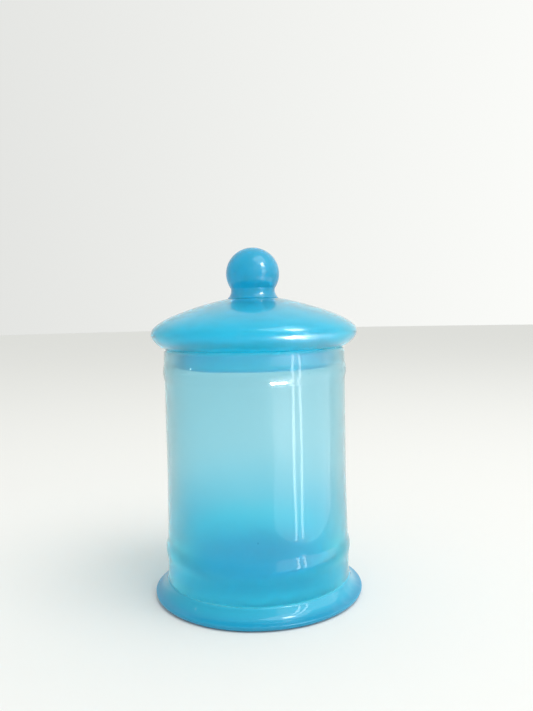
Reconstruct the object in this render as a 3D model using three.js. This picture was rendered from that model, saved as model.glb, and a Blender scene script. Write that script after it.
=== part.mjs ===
// Footed apothecary jar of opaline glass with a domed, knobbed lift-off lid.
// Millimetres, +Z up, origin at the centre of the foot's resting face.
// Four pieces of glass: vessel, applied foot, lid shell and applied knob.

import * as THREE from 'three';

// ---------------------------------------------------------------- overall
const HEIGHT = 189.4;          // resting face to the top of the knob
const FACETS = 48;             // sides of every turned piece
const JOINT_GAP = 0.3;         // clearance between pieces that touch

// ---------------------------------------------------------------- foot
const FOOT_RADIUS = 57.4;      // widest part of the rolled edge
const FOOT_EDGE_RADIUS = 2.3;  // rounding of the rolled edge
const FOOT_TOP = 9.7;          // flat the vessel is fused on
const FOOT_RING_INNER = 45;    // ground resting ring, inner edge
const FOOT_HOLLOW_DEPTH = 1.6; // shallow kick-up inside the ring

// ---------------------------------------------------------------- vessel
const VESSEL_BASE = FOOT_TOP + JOINT_GAP;
const WALL_RADIUS = 49.5;      // outside of the wall, upper two thirds
const WALL_RADIUS_LOW = 50.4;  // outside of the wall at the foot
const TAPER_TOP = 58;          // the wall is straight above this height
const BORE_RADIUS = 45;        // inside of the wall, upper half
const BORE_RADIUS_LOW = 41.5;  // the wall thickens down to the floor corner
const BORE_TAPER_TOP = 76;
const RIM_HEIGHT = 134.6;      // top of the mouth
const RIM_ROUNDING = 1.6;
const FLOOR_HEIGHT = 16;       // inside floor
const FLOOR_ROUNDING = 10;
const LOW_RING = { height: 26.2, width: 13.8, swell: 1.05 };
const HIGH_RING = { height: 122.5, width: 11.5, swell: 0.75 };

// ---------------------------------------------------------------- lid
const LID_BASE = RIM_HEIGHT + JOINT_GAP;
const LID_RADIUS = 56.4;       // widest part of the rolled rim
const LID_WIDEST_HEIGHT = 143.4;
const LID_CONTACT_RADIUS = 47.6;
const DOME_LAND_RADIUS = 13.4; // flat at the crown that carries the knob
const DOME_TOP = 161.8;
const LID_THICKNESS = 4.2;
const COLLAR_RADIUS = 44.3;    // outside of the collar that drops into the mouth
const COLLAR_THICKNESS = 4;
const COLLAR_DEPTH = 10.5;
const COLLAR_ROUNDING = 1.3;

// ---------------------------------------------------------------- knob
const KNOB_RADIUS = 14.65;
const KNOB_HALF_HEIGHT = 14.3; // the ball is a touch flattened
const KNOB_CENTRE = HEIGHT - KNOB_HALF_HEIGHT;
const KNOB_BASE = DOME_TOP + JOINT_GAP;
const KNOB_BASE_RADIUS = 14.4;
const NECK_ANGLE = -34;        // where the ball hands over to the neck, degrees

const rad = THREE.MathUtils.degToRad;

// A line is its two end points; the outline joins what it is given.
const line = (...points) => points.map(([r, z]) => new THREE.Vector2(r, z));

// A round or flattened stretch about (r, z), from one angle to the other in degrees.
function arc(r, z, radius, from, to, steps, halfHeight = radius) {
  const clockwise = to < from;
  const curve = new THREE.EllipseCurve(r, z, radius, halfHeight, rad(from), rad(to), clockwise);
  return curve.getPoints(steps);
}

// A free curve through two ends, drawn by two handles.
function sweep(start, handleA, handleB, end, steps) {
  const [a, b, c, d] = [start, handleA, handleB, end].map(([r, z]) => new THREE.Vector2(r, z));
  return new THREE.CubicBezierCurve(a, b, c, d).getPoints(steps);
}

// One outline out of several stretches, without the points that repeat.
function outline(...stretches) {
  const points = [];
  for (const point of stretches.flat()) {
    const last = points[points.length - 1];
    if (!last || last.distanceTo(point) > 1e-4) {
      points.push(point);
    }
  }
  return points;
}

// Outside radius of the vessel wall at a height, without its rings.
function wallRadius(z) {
  const t = THREE.MathUtils.clamp((z - VESSEL_BASE) / (TAPER_TOP - VESSEL_BASE), 0, 1);
  return THREE.MathUtils.lerp(WALL_RADIUS_LOW, WALL_RADIUS, t);
}

// A soft convex ring that swells out of the wall and dies back into it.
function ringMoulding({ height, width, swell }, steps) {
  const points = [];
  for (let i = 0; i <= steps; i += 1) {
    const t = i / steps;
    const z = height + (t - 0.5) * width;
    const bulge = swell * 0.5 * (1 - Math.cos(2 * Math.PI * t));
    points.push(new THREE.Vector2(wallRadius(z) + bulge, z));
  }
  return points;
}

const opaline = (color) => new THREE.MeshStandardMaterial({
  color,
  roughness: 0.08,
  metalness: 0,
  transparent: true,
  opacity: 0.85,
});

// Turns an outline about Z. LatheGeometry spins about Y, so it is stood up.
function turned(name, points, material) {
  const geometry = new THREE.LatheGeometry(points, FACETS);
  geometry.rotateX(Math.PI / 2);
  const mesh = new THREE.Mesh(geometry, material);
  mesh.name = name;
  return mesh;
}

// ---------------------------------------------------------------- foot
const edgeCentre = FOOT_RADIUS - FOOT_EDGE_RADIUS;
const edgeEnd = 15;
const edgeTop = [
  edgeCentre + FOOT_EDGE_RADIUS * Math.cos(rad(edgeEnd)),
  FOOT_EDGE_RADIUS * (1 + Math.sin(rad(edgeEnd))),
];
const footOutline = outline(
  line([0, FOOT_HOLLOW_DEPTH], [FOOT_RING_INNER - 6, FOOT_HOLLOW_DEPTH], [FOOT_RING_INNER, 0]),
  arc(edgeCentre, FOOT_EDGE_RADIUS, FOOT_EDGE_RADIUS, -90, edgeEnd, 7),
  sweep(edgeTop, [53.6, 3.4], [51.2, 5.6], [WALL_RADIUS_LOW, FOOT_TOP], 8),
  line([0, FOOT_TOP]),
);

// ---------------------------------------------------------------- vessel
const floorCorner = BORE_RADIUS_LOW - FLOOR_ROUNDING;
const vesselOutline = outline(
  line([0, VESSEL_BASE], [WALL_RADIUS_LOW - 0.5, VESSEL_BASE], [WALL_RADIUS_LOW, VESSEL_BASE + 0.5]),
  ringMoulding(LOW_RING, 10),
  line([WALL_RADIUS, TAPER_TOP], [WALL_RADIUS, (TAPER_TOP + HIGH_RING.height) / 2]),
  ringMoulding(HIGH_RING, 10),
  arc(WALL_RADIUS - RIM_ROUNDING, RIM_HEIGHT - RIM_ROUNDING, RIM_ROUNDING, 0, 90, 4),
  arc(BORE_RADIUS + RIM_ROUNDING, RIM_HEIGHT - RIM_ROUNDING, RIM_ROUNDING, 90, 180, 4),
  sweep([BORE_RADIUS, BORE_TAPER_TOP], [BORE_RADIUS, 60], [BORE_RADIUS_LOW + 0.8, 44],
    [BORE_RADIUS_LOW, FLOOR_HEIGHT + FLOOR_ROUNDING], 5),
  arc(floorCorner, FLOOR_HEIGHT + FLOOR_ROUNDING, FLOOR_ROUNDING, 0, -90, 6),
  line([0, FLOOR_HEIGHT]),
);

// ---------------------------------------------------------------- lid shell
const collarEnd = LID_BASE - COLLAR_DEPTH;
const collarInner = COLLAR_RADIUS - COLLAR_THICKNESS;
const lidInside = outline(
  // collar, outside and round its lower lip
  line([COLLAR_RADIUS, LID_BASE]),
  arc(COLLAR_RADIUS - COLLAR_ROUNDING, collarEnd + COLLAR_ROUNDING, COLLAR_ROUNDING, 0, -90, 3),
  arc(collarInner + COLLAR_ROUNDING, collarEnd + COLLAR_ROUNDING, COLLAR_ROUNDING, -90, -180, 3),
  // hollow: out into the rolled rim, then up under the dome
  sweep([collarInner, LID_BASE + 3], [collarInner, LID_BASE + 6], [47, 136.9], [49.2, 142.4], 6),
  sweep([49.2, 142.4], [50.8, 146.4], [28, 158], [0, DOME_TOP - LID_THICKNESS], 9),
);
const lidOutside = outline(
  line([0, DOME_TOP], [DOME_LAND_RADIUS, DOME_TOP]),
  sweep([DOME_LAND_RADIUS, DOME_TOP], [20, 161], [LID_RADIUS, 152.2],
    [LID_RADIUS, LID_WIDEST_HEIGHT], 14),
  sweep([LID_RADIUS, LID_WIDEST_HEIGHT], [LID_RADIUS, 139.4], [50.9, LID_BASE + 0.3],
    [LID_CONTACT_RADIUS, LID_BASE], 8),
  line([COLLAR_RADIUS, LID_BASE]),
);
// The outside runs from the crown down to the collar and the hollow back up to the crown.
const lidPoints = outline(lidOutside, lidInside).reverse();

// ---------------------------------------------------------------- knob
const neckStart = [
  KNOB_RADIUS * Math.cos(rad(NECK_ANGLE)),
  KNOB_CENTRE + KNOB_HALF_HEIGHT * Math.sin(rad(NECK_ANGLE)),
];
const knobOutline = outline(
  line([0, KNOB_BASE], [KNOB_BASE_RADIUS, KNOB_BASE]),
  sweep([KNOB_BASE_RADIUS, KNOB_BASE], [12.7, KNOB_BASE + 0.9], [11.6, 165.2], neckStart, 6),
  arc(0, KNOB_CENTRE, KNOB_RADIUS, NECK_ANGLE, 90, 16, KNOB_HALF_HEIGHT),
);

// ---------------------------------------------------------------- assembly
const PALE = 0x94d4e0;
const CELESTE = 0x4abde0;
const DEEP = 0x38a8d4;

const jar = new THREE.Group();
jar.name = 'jar';
jar.add(turned('jar_foot', footOutline, opaline(DEEP)));
jar.add(turned('jar_body', vesselOutline, opaline(PALE)));

const lid = new THREE.Group();
lid.name = 'lid';
lid.add(turned('lid_shell', lidPoints, opaline(CELESTE)));
lid.add(turned('lid_knob', knobOutline, opaline(DEEP)));

const group = new THREE.Group();
group.name = 'apothecary_jar';
group.add(jar, lid);

export default group;
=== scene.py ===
import math

import bmesh
import bpy
from mathutils import Euler, Matrix, Vector


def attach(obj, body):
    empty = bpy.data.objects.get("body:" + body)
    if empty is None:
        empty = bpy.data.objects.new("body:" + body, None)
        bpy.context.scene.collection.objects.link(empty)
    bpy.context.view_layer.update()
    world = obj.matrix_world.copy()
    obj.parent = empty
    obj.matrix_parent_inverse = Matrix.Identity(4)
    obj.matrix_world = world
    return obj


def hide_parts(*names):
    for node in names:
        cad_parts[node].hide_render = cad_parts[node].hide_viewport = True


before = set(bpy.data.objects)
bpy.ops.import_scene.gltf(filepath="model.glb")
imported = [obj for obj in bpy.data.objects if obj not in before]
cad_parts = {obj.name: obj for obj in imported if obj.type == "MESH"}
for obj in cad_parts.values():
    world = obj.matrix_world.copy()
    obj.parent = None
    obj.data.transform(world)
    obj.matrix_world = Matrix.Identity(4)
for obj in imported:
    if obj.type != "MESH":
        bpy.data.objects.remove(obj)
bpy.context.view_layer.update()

MM = 0.001
scene = bpy.context.scene

# ---------------------------------------------------------------- sizes, in millimetres
FOOT_RADIUS = 57.4
FOOT_EDGE_ROUNDING = 2.3
FOOT_TOP = 9.9
FOOT_RING_OUTER = 55.1
FOOT_RING_INNER = 45.0
FOOT_HOLLOW_DEPTH = 1.6

VESSEL_BASE = 9.8
WALL_RADIUS = 49.5
WALL_RADIUS_LOW = 50.4
TAPER_TOP = 58.0
BORE_RADIUS = 45.0
BORE_RADIUS_LOW = 41.5
BORE_TAPER_TOP = 76.0
RIM_HEIGHT = 134.6
RIM_ROUNDING = 1.6
FLOOR_HEIGHT = 16.0
FLOOR_ROUNDING = 10.0
LOW_RING = {"height": 26.2, "width": 13.8, "swell": 1.05}
HIGH_RING = {"height": 122.5, "width": 11.5, "swell": 0.75}

LID_BASE = 134.8
LID_RADIUS = 56.4
LID_WIDEST_HEIGHT = 143.4
LID_CONTACT_RADIUS = 47.6
DOME_TOP = 161.8
DOME_LAND_RADIUS = 13.4
LID_THICKNESS = 4.2
COLLAR_RADIUS = 44.3
COLLAR_THICKNESS = 4.0
COLLAR_DEPTH = 10.4
COLLAR_ROUNDING = 1.3

HEIGHT = 189.4
KNOB_RADIUS = 14.65
KNOB_HALF_HEIGHT = 14.3
KNOB_CENTRE = HEIGHT - KNOB_HALF_HEIGHT
KNOB_BASE = 161.55
KNOB_BASE_RADIUS = 14.4
NECK_HEIGHT = 167.1

# Handles of the free curves, each a radius and a height.
FLARE_HANDLES = ((53.6, 3.4), (51.2, 5.6))
FOOT_HOLLOW_HANDLES = ((43.5, 0.7), (42, FOOT_HOLLOW_DEPTH))
FOOT_HOLLOW_FLAT = 39.0
BORE_HANDLES = ((BORE_RADIUS, 60), (BORE_RADIUS_LOW + 0.8, 44))
DOME_HANDLES = ((20, 161), (LID_RADIUS, 152.2))
LID_RIM_HANDLES = ((LID_RADIUS, 139.4), (50.9, 135.2))
LID_HOLLOW_WIDEST = (49.2, 142.4)
LID_HOLLOW_LOW_HANDLES = ((COLLAR_RADIUS - COLLAR_THICKNESS, LID_BASE + 6), (47, 136.9))
LID_HOLLOW_HIGH_HANDLES = ((50.8, 146.4), (28, 158))
NECK_HANDLES = ((11.6, 165.2), (12.7, KNOB_BASE + 0.9))

BASE_CHAMFER = 0.2
BASE_HOLD = 1.5     # how far above its base a cut keeps the vessel's lower edge crisp
RIM_HOLD = 1.2      # how far below the rim's rounding a cut keeps it from spreading
MID_WALL = 90.0
MOULDING_STEPS = 10
FIRST_SLAB = 0.5    # thickness of the disc the foot is drawn out of
LAST_RING = 5.0     # radius of the ring next to the lid's axis, above and below

SIDES = 64
SUBDIVISIONS = 2
NEAR = 0.05         # how closely points must lie to count as one ring, in millimetres
CUT_THRESHOLD = 1e-6

# Ripples of blown glass: each is its size across and its height.
VESSEL_RIPPLES = ((16, 0.28), (7, 0.06))
FOOT_RIPPLES = ((22, 0.2),)
LID_RIPPLES = ((18, 0.3), (8, 0.05))
KNOB_RIPPLES = ((14, 0.16),)


# ---------------------------------------------------------------- camera
EYE_DISTANCE = 378.2 * MM
EYE_HEIGHT = 154.1 * MM
LOOK_DOWN = math.radians(3.63)
LOOK_RIGHT = math.radians(1.01)
HEAD_TILT = math.radians(1.17)
SENSOR_WIDTH = 36.0
FOCAL_LENGTH = 34.7544


def place_camera():
    """A camera level with the dome of the lid, looking slightly down and held a degree off level."""
    data = bpy.data.cameras.new("camera")
    data.sensor_width = SENSOR_WIDTH
    data.lens = FOCAL_LENGTH
    data.clip_start = 0.01
    data.clip_end = 60.0
    camera = bpy.data.objects.new("camera", data)
    scene.collection.objects.link(camera)
    eye = Matrix.Translation((0, -EYE_DISTANCE, EYE_HEIGHT))
    look = Euler((math.radians(90) - LOOK_DOWN, 0, -LOOK_RIGHT), "XYZ").to_matrix().to_4x4()
    camera.matrix_world = eye @ look @ Matrix.Rotation(-HEAD_TILT, 4, "Z")
    scene.camera = camera


place_camera()


# ---------------------------------------------------------------- modelling by hand
def deselect_everything():
    """Leaves edit mode and selects nothing, so the next piece starts clean."""
    if bpy.context.mode != "OBJECT":
        bpy.ops.object.mode_set(mode="OBJECT")
    bpy.ops.object.select_all(action="DESELECT")


def begin(name):
    """Names the primitive just added and opens it for editing."""
    piece = bpy.context.active_object
    piece.name = name
    piece.data.name = name
    bpy.ops.object.transform_apply(location=True, rotation=True, scale=True)
    bpy.ops.object.mode_set(mode="EDIT")
    return piece


def pick(piece, kind, wanted):
    """Selects the vertices, edges or faces of a piece that are wanted."""
    bpy.ops.mesh.select_all(action="DESELECT")
    bpy.ops.mesh.select_mode(type=kind)
    mesh = bmesh.from_edit_mesh(piece.data)
    for part in {"VERT": mesh.verts, "EDGE": mesh.edges, "FACE": mesh.faces}[kind]:
        part.select_set(wanted(part))
    mesh.select_flush_mode()
    bmesh.update_edit_mesh(piece.data)


def level_with(height):
    """The faces that lie flat at one height."""
    def wanted(face):
        return all(abs(v.co.z / MM - height) < NEAR for v in face.verts)
    return wanted


def corner_ring(radius, height):
    """The ring of edges at one radius and height."""
    def wanted(edge):
        return all(
            abs(v.co.z / MM - height) < NEAR and abs(v.co.xy.length / MM - radius) < NEAR
            for v in edge.verts
        )
    return wanted


def cut_level(height):
    """Cuts all the way round at a height."""
    bpy.ops.mesh.select_all(action="SELECT")
    bpy.ops.mesh.bisect(
        plane_co=(0, 0, height * MM), plane_no=(0, 0, 1), threshold=CUT_THRESHOLD
    )


def set_ring(piece, height, radius):
    """Widens or narrows the ring of points at a height to a radius."""
    pick(piece, "VERT", lambda point: abs(point.co.z / MM - height) < NEAR)
    points = [v for v in bmesh.from_edit_mesh(piece.data).verts if v.select]
    factor = radius / (max(v.co.xy.length for v in points) / MM)
    bpy.ops.transform.resize(value=(factor, factor, 1), center_override=(0, 0, 0))


def draw_rings(start, rings):
    """Draws the selected face out from one (radius, height) through the next ones."""
    radius, height = start
    for next_radius, next_height in rings:
        rise = (next_height - height) * MM
        bpy.ops.mesh.extrude_region_move(TRANSFORM_OT_translate={"value": (0, 0, rise)})
        factor = next_radius / radius
        bpy.ops.transform.resize(value=(factor, factor, 1), center_override=(0, 0, 0))
        radius, height = next_radius, next_height


def arc(radius, height, rounding, first, last, steps):
    """Points (radius, height) round part of a circle, angles in degrees."""
    points = []
    for step in range(steps + 1):
        angle = math.radians(first + (last - first) * step / steps)
        points.append((radius + rounding * math.cos(angle), height + rounding * math.sin(angle)))
    return points


def sweep(start, handle_a, handle_b, end, steps):
    """Points along a free curve through two ends, drawn by two handles."""
    points = []
    for step in range(steps + 1):
        t = step / steps
        weights = ((1 - t) ** 3, 3 * t * (1 - t) ** 2, 3 * t * t * (1 - t), t ** 3)
        knots = (start, handle_a, handle_b, end)
        points.append(tuple(sum(w * knot[axis] for w, knot in zip(weights, knots)) for axis in (0, 1)))
    return points


def soften(piece, ripples):
    """Subdivides a finished cage, adds the faint ripples of blown glass, and smooths its shading."""
    bpy.ops.mesh.select_all(action="SELECT")
    bpy.ops.mesh.normals_make_consistent(inside=False)
    bpy.ops.object.mode_set(mode="OBJECT")
    rounded = piece.modifiers.new("rounded", "SUBSURF")
    rounded.levels = SUBDIVISIONS
    rounded.render_levels = SUBDIVISIONS
    bpy.ops.object.modifier_apply(modifier=rounded.name)
    for size, height in ripples:
        clouds = bpy.data.textures.new(piece.name + "_ripple", "CLOUDS")
        clouds.noise_scale = size * MM
        clouds.noise_depth = 1
        wave = piece.modifiers.new("ripple", "DISPLACE")
        wave.texture = clouds
        wave.texture_coords = "LOCAL"
        wave.strength = height * MM
        wave.mid_level = 0.5
        bpy.ops.object.modifier_apply(modifier=wave.name)
    bpy.ops.object.shade_smooth()
    piece.select_set(False)


def wall_radius(height):
    """Outside radius of the vessel's wall at a height, without its ring mouldings."""
    t = min(1.0, max(0.0, (height - VESSEL_BASE) / (TAPER_TOP - VESSEL_BASE)))
    return WALL_RADIUS_LOW + (WALL_RADIUS - WALL_RADIUS_LOW) * t


# ---------------------------------------------------------------- vessel
def make_vessel():
    """The blown cylinder: taper, two ring mouldings, rounded mouth and a round-cornered floor."""
    deselect_everything()
    tall = RIM_HEIGHT - VESSEL_BASE
    bpy.ops.mesh.primitive_cylinder_add(
        vertices=SIDES, radius=WALL_RADIUS * MM, depth=tall * MM,
        location=(0, 0, (VESSEL_BASE + tall / 2) * MM),
    )
    vessel = begin("vessel")

    outside = {VESSEL_BASE: WALL_RADIUS_LOW}
    below_rim = RIM_HEIGHT - RIM_ROUNDING - RIM_HOLD
    for height in (VESSEL_BASE + BASE_HOLD, TAPER_TOP, MID_WALL, below_rim):
        outside[height] = wall_radius(height)
    for ring in (LOW_RING, HIGH_RING):
        for step in range(MOULDING_STEPS + 1):
            t = step / MOULDING_STEPS
            height = ring["height"] + (t - 0.5) * ring["width"]
            bulge = ring["swell"] * 0.5 * (1 - math.cos(2 * math.pi * t))
            outside[height] = wall_radius(height) + bulge
    for height in outside:
        if height > VESSEL_BASE:
            cut_level(height)
    for height, radius in outside.items():
        set_ring(vessel, height, radius)

    pick(vessel, "FACE", level_with(RIM_HEIGHT))
    bpy.ops.mesh.inset(thickness=(WALL_RADIUS - BORE_RADIUS) * MM)
    corner = FLOOR_HEIGHT + FLOOR_ROUNDING
    hollow = [(BORE_RADIUS, height) for height in (RIM_HEIGHT - 3, HIGH_RING["height"], 95)]
    hollow += sweep((BORE_RADIUS, BORE_TAPER_TOP), *BORE_HANDLES, (BORE_RADIUS_LOW, corner), 6)
    hollow += arc(BORE_RADIUS_LOW - FLOOR_ROUNDING, corner, FLOOR_ROUNDING, 0, -90, 6)[1:]
    hollow += [(20, FLOOR_HEIGHT), (6, FLOOR_HEIGHT)]
    draw_rings((BORE_RADIUS, RIM_HEIGHT), hollow)
    bpy.ops.mesh.merge(type="CENTER")

    for radius in (WALL_RADIUS, BORE_RADIUS):
        pick(vessel, "EDGE", corner_ring(radius, RIM_HEIGHT))
        bpy.ops.mesh.bevel(offset=RIM_ROUNDING * MM, segments=4, affect="EDGES")
    pick(vessel, "EDGE", corner_ring(WALL_RADIUS_LOW, VESSEL_BASE))
    bpy.ops.mesh.bevel(offset=BASE_CHAMFER * MM, segments=2, affect="EDGES")
    soften(vessel, VESSEL_RIPPLES)
    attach(vessel, "jar")
    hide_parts("jar_body")
    return vessel


# ---------------------------------------------------------------- foot
def make_foot():
    """The fused foot: rolled edge, concave flare up to the wall, ground ring, shallow hollow."""
    deselect_everything()
    bpy.ops.mesh.primitive_cylinder_add(
        vertices=SIDES, radius=FOOT_RING_OUTER * MM, depth=FIRST_SLAB * MM,
        location=(0, 0, FIRST_SLAB / 2 * MM),
    )
    foot = begin("foot")
    pick(foot, "FACE", level_with(FIRST_SLAB))
    edge_centre = FOOT_RADIUS - FOOT_EDGE_ROUNDING
    rolled = arc(edge_centre, FOOT_EDGE_ROUNDING, FOOT_EDGE_ROUNDING, -60, 15, 5)
    flare = sweep(rolled[-1], *FLARE_HANDLES, (WALL_RADIUS_LOW, FOOT_TOP), 8)
    flat = [(30, FOOT_TOP), (6, FOOT_TOP)]
    draw_rings((FOOT_RING_OUTER, FIRST_SLAB), rolled + flare[1:] + flat)
    bpy.ops.mesh.merge(type="CENTER")

    pick(foot, "FACE", level_with(0))
    bpy.ops.mesh.inset(thickness=(FOOT_RING_OUTER - FOOT_RING_INNER) * MM)
    ring_edge = (FOOT_RING_INNER, 0)
    rise = sweep(ring_edge, *FOOT_HOLLOW_HANDLES, (FOOT_HOLLOW_FLAT, FOOT_HOLLOW_DEPTH), 5)
    draw_rings(ring_edge, rise[1:] + [(20, FOOT_HOLLOW_DEPTH), (6, FOOT_HOLLOW_DEPTH)])
    bpy.ops.mesh.merge(type="CENTER")
    soften(foot, FOOT_RIPPLES)
    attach(foot, "jar")
    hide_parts("jar_foot")
    return foot


# ---------------------------------------------------------------- lid
def make_lid_shell():
    """The blown lid, drawn out ring by ring: dome, rolled rim, collar, and back up the hollow."""
    deselect_everything()
    bpy.ops.mesh.primitive_circle_add(
        vertices=SIDES, radius=LAST_RING * MM, fill_type="TRIFAN", location=(0, 0, DOME_TOP * MM)
    )
    shell = begin("lid_dome")
    widest = (LID_RADIUS, LID_WIDEST_HEIGHT)
    crown = (DOME_LAND_RADIUS, DOME_TOP)
    dome = [(9, DOME_TOP)] + sweep(crown, *DOME_HANDLES, widest, 14)
    rim = sweep(widest, *LID_RIM_HANDLES, (LID_CONTACT_RADIUS, LID_BASE), 8)

    collar_end = LID_BASE - COLLAR_DEPTH
    collar_inner = COLLAR_RADIUS - COLLAR_THICKNESS
    lip = collar_end + COLLAR_ROUNDING
    collar = [(COLLAR_RADIUS + 1.2, LID_BASE), (COLLAR_RADIUS + 0.4, LID_BASE - 0.1)]
    collar += [(COLLAR_RADIUS, LID_BASE - 0.6), (COLLAR_RADIUS, LID_BASE - 4)]
    collar += arc(COLLAR_RADIUS - COLLAR_ROUNDING, lip, COLLAR_ROUNDING, 0, -90, 4)
    collar += arc(collar_inner + COLLAR_ROUNDING, lip, COLLAR_ROUNDING, -90, -180, 4)

    hollow = sweep(
        (collar_inner, LID_BASE + 3), *LID_HOLLOW_LOW_HANDLES, LID_HOLLOW_WIDEST, 6
    )
    under = sweep(
        LID_HOLLOW_WIDEST, *LID_HOLLOW_HIGH_HANDLES, (LAST_RING, DOME_TOP - LID_THICKNESS), 10
    )
    draw_rings((LAST_RING, DOME_TOP), dome + rim[1:] + collar + hollow + under[1:])
    bpy.ops.mesh.merge(type="CENTER")
    soften(shell, LID_RIPPLES)
    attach(shell, "lid")
    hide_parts("lid_shell")
    return shell


def make_knob():
    """The solid ball on its waisted neck, cut from a sphere and flared out at the bottom."""
    deselect_everything()
    bpy.ops.mesh.primitive_uv_sphere_add(
        segments=SIDES, ring_count=32, radius=KNOB_RADIUS * MM, location=(0, 0, KNOB_CENTRE * MM),
        scale=(1, 1, KNOB_HALF_HEIGHT / KNOB_RADIUS),
    )
    knob = begin("knob")
    bpy.ops.mesh.select_all(action="SELECT")
    bpy.ops.mesh.bisect(
        plane_co=(0, 0, NECK_HEIGHT * MM), plane_no=(0, 0, 1), threshold=CUT_THRESHOLD,
        clear_inner=True, use_fill=True,
    )
    pick(knob, "FACE", level_with(NECK_HEIGHT))
    drop = (KNOB_CENTRE - NECK_HEIGHT) / KNOB_HALF_HEIGHT
    neck_radius = KNOB_RADIUS * math.sqrt(1 - drop ** 2)
    top = (neck_radius, NECK_HEIGHT)
    neck = sweep(top, *NECK_HANDLES, (KNOB_BASE_RADIUS, KNOB_BASE), 7)
    draw_rings(top, neck[1:] + [(9, KNOB_BASE), (3, KNOB_BASE)])
    bpy.ops.mesh.merge(type="CENTER")
    soften(knob, KNOB_RIPPLES)
    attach(knob, "lid")
    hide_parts("lid_knob")
    return knob


# ---------------------------------------------------------------- shader maths
class Value:
    """One output of a node, with plain arithmetic that adds Math nodes."""

    def __init__(self, recipe, socket):
        self.recipe = recipe
        self.socket = socket

    def maths(self, operation, *values):
        """The value that a Math node makes of these values."""
        return self.recipe.add("ShaderNodeMath", {"operation": operation}, *values)[0]

    def __add__(self, other):
        return self.maths("ADD", self, other)

    def __sub__(self, other):
        return self.maths("SUBTRACT", self, other)

    def __rsub__(self, other):
        return self.maths("SUBTRACT", other, self)

    def __mul__(self, other):
        return self.maths("MULTIPLY", self, other)

    def __truediv__(self, other):
        return self.maths("DIVIDE", self, other)

    def root(self):
        return self.maths("SQRT", self)

    def between(self, low, high):
        """0 below low, 1 above high, and a smooth step from one to the other."""
        settings = {"interpolation_type": "SMOOTHSTEP"}
        return self.recipe.add("ShaderNodeMapRange", settings, self, low, high, 0.0, 1.0)[0]


def shade(red, green, blue):
    """A colour as the eye reads it, 0 to 255, as light."""
    def light(v):
        v = v / 255
        return v / 12.92 if v <= 0.04045 else ((v + 0.055) / 1.055) ** 2.4
    return (light(red), light(green), light(blue), 1.0)


class Recipe:
    """A node tree being mixed: adds nodes and joins them up."""

    def __init__(self, tree, shader, coordinates):
        self.tree = tree
        self.shader = tree.nodes[shader]
        place = self.add("ShaderNodeTexCoord")
        self.place = next(v for v in place if v.socket.name == coordinates)
        self.across, self.deep, self.height = self.add("ShaderNodeSeparateXYZ", {}, self.place)

    def add(self, kind, settings=None, *values, **named):
        """A node of a kind, with its settings first and then its inputs, in order or by name."""
        node = self.tree.nodes.new(kind)
        for key, setting in (settings or {}).items():
            setattr(node, key, setting)
        enabled = [socket for socket in node.inputs if socket.enabled]
        pairs = list(zip(enabled, values))
        pairs += [(socket, named[key]) for key in named
                  for socket in enabled if socket.name == key.replace("_", " ")]
        for socket, value in pairs:
            self.join(value, socket)
        return [Value(self, socket) for socket in node.outputs if socket.enabled]

    def join(self, value, socket):
        """Links a value to a socket, or sets the socket to a plain number or colour."""
        if isinstance(value, Value):
            self.tree.links.new(value.socket, socket)
        elif value is not None:
            socket.default_value = value

    def blend(self, mask, first, second):
        """A colour between two colours."""
        settings = {"data_type": "RGBA", "blend_type": "MIX"}
        return self.add("ShaderNodeMix", settings, mask, first, second)[0]

    def noise(self, size, detail, stretch=(1, 1, 1)):
        """Cloudy values from 0 to 1, with blotches of a size in millimetres."""
        scale = tuple(1 / (size * MM * s) for s in stretch)
        place = self.add("ShaderNodeMapping", {}, self.place, None, None, scale)[0]
        return self.add("ShaderNodeTexNoise", {}, Vector=place, Scale=1.0, Detail=detail)[0]

    def fix(self, **values):
        """Sets sockets of the shader that are the same all over."""
        for name, value in values.items():
            self.shader.inputs[name.replace("_", " ")].default_value = value

    def feed(self, name, value):
        """Gives a socket of the shader what changes over the surface."""
        self.join(value, self.shader.inputs[name])


# ---------------------------------------------------------------- glass
GLASS_IOR = 1.2            # a low value keeps the far wall readable through the milky one
COAT_IOR = 1.35
COAT_ROUGHNESS = 0.012
MIST_SIZE = 34             # cloudy patches, in millimetres
STREAK_SIZE = 5            # streaks drawn out upwards, in millimetres
STREAK_STRETCH = (1, 1, 12)
MIST_WANDER = 8.0          # span in which the mist shifts a change of tint, in millimetres
BUBBLE_CELL = 9.0          # one bubble at most in a cell of this size, in millimetres
BUBBLE_SHARE = 0.05
BUBBLE_DOT = (0.04, 0.08)  # where a bubble's soft edge starts and ends, in parts of its cell
BUBBLE_SHADE = 0.4
BUBBLE_DEPTH = 0.5         # against the relief of the mist
WISP_SHADE = 0.12
RELIEF_HEIGHT = 0.3        # in millimetres
RELIEF_STRENGTH = 0.3
GROUND_TOP = (0.15, 0.45)  # heights between which ground glass turns to gloss, in millimetres
GROUND_ROUGHNESS = 0.3     # what grinding adds to the roughness
GROUND_DULLING = 0.9       # what grinding takes off the gloss
BODY_COLOUR = (0.0, 0.95, 1.0, 1)

# Colours of the glass and of what is caught in it.
WISP = (0.80, 0.95, 1.0, 1)
SPECK = (0.02, 0.22, 0.36, 1)
# PALE, MILKY, LOW and LOWEST run from the vessel's top down to its floor. They hold painted light and
# shade: pale where light comes through, deep low down as painted shade of a dark surface beneath. Part
# of the deepening is the glass thickening towards its base.
PALE = (0.60, 0.87, 0.945, 1)
MILKY = (0.32, 0.785, 0.93, 1)
LOW = (0.13, 0.86, 1.0, 1)
LOWEST = (0.09, 0.82, 1.0, 1)
COLLAR = (0.01, 0.82, 0.99, 1)
CELESTE = (0.08, 0.80, 0.98, 1)
DEEP = (0.015, 0.50, 0.76, 1)
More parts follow.
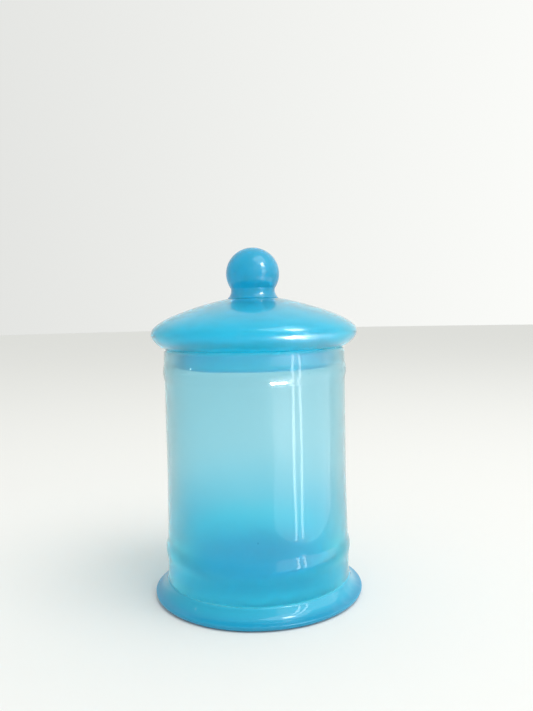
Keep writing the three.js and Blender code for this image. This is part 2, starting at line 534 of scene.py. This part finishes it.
# FOOT_MIDDLE, FOOT_FLARE and FOOT_EDGE run from the foot's middle out to its rolled edge. The deeper
# flare and edge are partly painted shade, standing in for a dark surface beneath, and partly the long
# path through the thick flange.
FOOT_MIDDLE = (0.26, 0.87, 1.0, 1)
FOOT_FLARE = (0.02, 0.46, 0.68, 1)
FOOT_EDGE = (0.012, 0.34, 0.57, 1)


def bubbles_in(glass):
    """Tiny bubbles caught in the glass: one small dot in a few of its cells."""
    cells = glass.add(
        "ShaderNodeTexVoronoi", {"feature": "F1"}, Vector=glass.place, Scale=1 / (BUBBLE_CELL * MM)
    )
    distance, colour = cells[0], cells[1]
    lot = glass.add("ShaderNodeSeparateColor", {}, colour)[0]
    chosen = lot.between(1 - BUBBLE_SHARE, 1 - BUBBLE_SHARE + 0.02)
    return (1 - distance.between(*BUBBLE_DOT)) * chosen


def graded(along, *stops):
    """A tint that turns from colour to colour along the height or the radius.

    Each stop is a distance in millimetres and the colour reached there.
    """
    def tint(glass, mist):
        if along == "height":
            reach = glass.height / MM + (mist - 0.5) * MIST_WANDER
        else:
            squared = glass.across * glass.across + glass.deep * glass.deep
            reach = squared.root() / MM
        colour = stops[0][1]
        for (start, _), (end, next_colour) in zip(stops, stops[1:]):
            colour = glass.blend(reach.between(start, end), colour, next_colour)
        return colour
    return tint


def tinted_glass(name, tint, clear, rough, depth, ground=False):
    """Milky tinted glass under a wet gloss, deeper in colour where it is thick.

    tint is a colour or draws one, and a drawn tint may hold painted light and shade; clear is how much
    of the light passes rather than spreads; depth is how strongly its body takes up red; ground glass
    is matt where it stands.
    """
    material = bpy.data.materials.new(name)
    material.use_nodes = True
    glass = Recipe(material.node_tree, "Principled BSDF", "Object")
    mist = glass.noise(MIST_SIZE, detail=3.0)
    drawn = glass.noise(STREAK_SIZE, detail=2.0, stretch=STREAK_STRETCH)
    bubbles = bubbles_in(glass)

    colour = tint(glass, mist) if callable(tint) else tint
    wisps = ((mist - 0.5) * 0.35 + (drawn - 0.5) * 0.25).between(0, 0.3)
    cloudy = glass.blend(wisps * WISP_SHADE, colour, WISP)
    glass.feed("Base Color", glass.blend(bubbles * BUBBLE_SHADE, cloudy, SPECK))

    surface = (mist - 0.5) * 0.08 + (drawn - 0.5) * 0.06 + rough
    if ground:
        matt = 1 - (glass.height / MM).between(*GROUND_TOP)
        surface = surface + matt * GROUND_ROUGHNESS
        glass.feed("Coat Weight", 1 - matt * GROUND_DULLING)
    else:
        glass.fix(Coat_Weight=1.0)
    glass.feed("Roughness", surface)

    relief = (drawn - 0.5) * 0.3 + (mist - 0.5) - bubbles * BUBBLE_DEPTH
    bump = glass.add(
        "ShaderNodeBump", {}, Strength=RELIEF_STRENGTH, Distance=RELIEF_HEIGHT * MM, Height=relief
    )[0]
    glass.feed("Normal", bump)

    glass.fix(IOR=GLASS_IOR, Transmission_Weight=clear)
    glass.fix(Coat_Roughness=COAT_ROUGHNESS, Coat_IOR=COAT_IOR)
    body = glass.add("ShaderNodeVolumeAbsorption", {}, BODY_COLOUR, depth)[0]
    output = next(n for n in material.node_tree.nodes if n.type == "OUTPUT_MATERIAL")
    glass.join(body, output.inputs["Volume"])
    return material


# ---------------------------------------------------------------- stage
# The floor and the lights are placed in metres.
FLOOR_REACH = 6.0
FLOOR_DROP = 0.0001
ROOM_LEVEL = 0.88   # brightness of the surround straight ahead
ROOM_SLOPE = 0.26   # what it gains to the right and loses to the left


def around(azimuth, distance, height):
    """A point about the jar: azimuth in degrees from straight in front, positive to the right."""
    angle = math.radians(azimuth)
    return Vector((distance * math.sin(angle), -distance * math.cos(angle), height))


def studio_light(name, place, aim, size, radiance, spread=180):
    """A rectangular light of a brightness seen head on; spread is how wide it opens, in degrees."""
    data = bpy.data.lights.new(name, "AREA")
    data.shape = "RECTANGLE"
    data.size, data.size_y = size
    data.energy = radiance * math.pi * size[0] * size[1]
    data.spread = math.radians(spread)
    light = bpy.data.objects.new(name, data)
    light.location = place
    light.rotation_euler = (Vector(aim) - Vector(place)).to_track_quat("-Z", "Y").to_euler()
    light.visible_camera = False
    scene.collection.objects.link(light)
    return light


def highlight(name, azimuth, distance, height, aim, size, radiance, spread=180):
    """A light about the jar, aimed at a height on its axis, that only shows as a reflection."""
    place = around(azimuth, distance, height)
    light = studio_light(name, place, (0, 0, aim), size, radiance, spread)
    light.visible_diffuse = False
    light.visible_transmission = False
    light.visible_volume_scatter = False


def make_floor():
    """A wide round pale floor, a hair below the foot so the two never share a plane."""
    deselect_everything()
    bpy.ops.mesh.primitive_circle_add(
        vertices=96, radius=FLOOR_REACH, fill_type="NGON", location=(0, 0, -FLOOR_DROP)
    )
    floor = begin("floor")
    bpy.ops.object.mode_set(mode="OBJECT")
    paint = bpy.data.materials.new("pale_floor")
    paint.use_nodes = True
    matt = paint.node_tree.nodes["Principled BSDF"]
    matt.inputs["Base Color"].default_value = shade(236, 236, 234)
    matt.inputs["Roughness"].default_value = 0.8
    matt.inputs["Specular IOR Level"].default_value = 0.0
    floor.data.materials.append(paint)
    floor.select_set(False)


def light_the_room():
    """A pale surround, a little brighter to the right."""
    world = bpy.data.worlds.new("studio")
    world.use_nodes = True
    sky = Recipe(world.node_tree, "Background", "Generated")
    sky.fix(Color=shade(253, 254, 251))
    sky.feed("Strength", sky.across * ROOM_SLOPE + ROOM_LEVEL)
    scene.world = world


def light_the_jar():
    """One soft light from the right, then the window and lamps that shine on the gloss."""
    studio_light(
        "softbox", place=(0.6, -0.5, 1.35), aim=(0, 0, 0.1), size=(1.0, 1.0), radiance=3.0
    )
    highlight(
        "window", azimuth=56, distance=0.172, height=0.065, aim=0.065,
        size=(0.273, 0.13), radiance=1.6,
    )
    for name, azimuth in (("pane_near", 40), ("pane_far", 48)):
        highlight(
            name, azimuth, distance=0.165, height=0.1625, aim=0.1625,
            size=(0.008, 0.315), radiance=9.0,
        )
    highlight(
        "lamp", azimuth=48, distance=0.160, height=0.285, aim=0.17,
        size=(0.045, 0.060), radiance=25.0,
    )
    highlight(
        "low_lamp", azimuth=42, distance=0.200, height=0.045, aim=0.172,
        size=(0.040, 0.010), radiance=60.0, spread=12,
    )
    highlight(
        "sill", azimuth=34, distance=0.230, height=0.025, aim=0.155,
        size=(0.180, 0.003), radiance=36.0, spread=26,
    )
    for number, height in enumerate((0.159, 0.165, 0.181)):
        highlight(
            "glint_" + str(number), azimuth=-80, distance=0.30, height=height, aim=0.12,
            size=(0.006, 0.006), radiance=90.0,
        )


# ---------------------------------------------------------------- the whole jar
vessel = make_vessel()
foot = make_foot()
lid_shell = make_lid_shell()
knob = make_knob()

# Painted light and shade: the vessel turns from pale high up, where light comes through, to deep blue
# low down. The deep part is painted shade standing in for a dark surface beneath, partly also the
# glass thickening towards its base.
vessel_tint_painted_light_and_shade = graded("height", (16, LOWEST), (26, LOW), (40, MILKY), (76, PALE))
# Painted shade: the foot darkens from its pale middle out to the flare and rolled edge, standing in
# for a dark surface beneath. Part of the darkening is the long path through the thick flange.
foot_tint_painted_shade = graded("radius", (49.5, FOOT_MIDDLE), (50.5, FOOT_FLARE), (56, FOOT_EDGE))
lid_tint = graded("height", (130, COLLAR), (138, CELESTE))

vessel.data.materials.append(
    tinted_glass("vessel_glass", vessel_tint_painted_light_and_shade, clear=0.95, rough=0.35, depth=12.0)
)
foot.data.materials.append(
    tinted_glass("foot_glass", foot_tint_painted_shade, clear=0.08, rough=0.5, depth=45.0, ground=True)
)
lid_shell.data.materials.append(
    tinted_glass("lid_glass", lid_tint, clear=0.87, rough=0.4, depth=45.0)
)
knob.data.materials.append(
    tinted_glass("knob_glass", DEEP, clear=0.5, rough=0.5, depth=45.0)
)

make_floor()
light_the_room()
light_the_jar()
scene.view_settings.view_transform = "Standard"
scene.cycles.use_denoising = True
scene.cycles.max_bounces = 20
scene.cycles.transmission_bounces = 16
scene.cycles.glossy_bounces = 16
scene.cycles.diffuse_bounces = 10
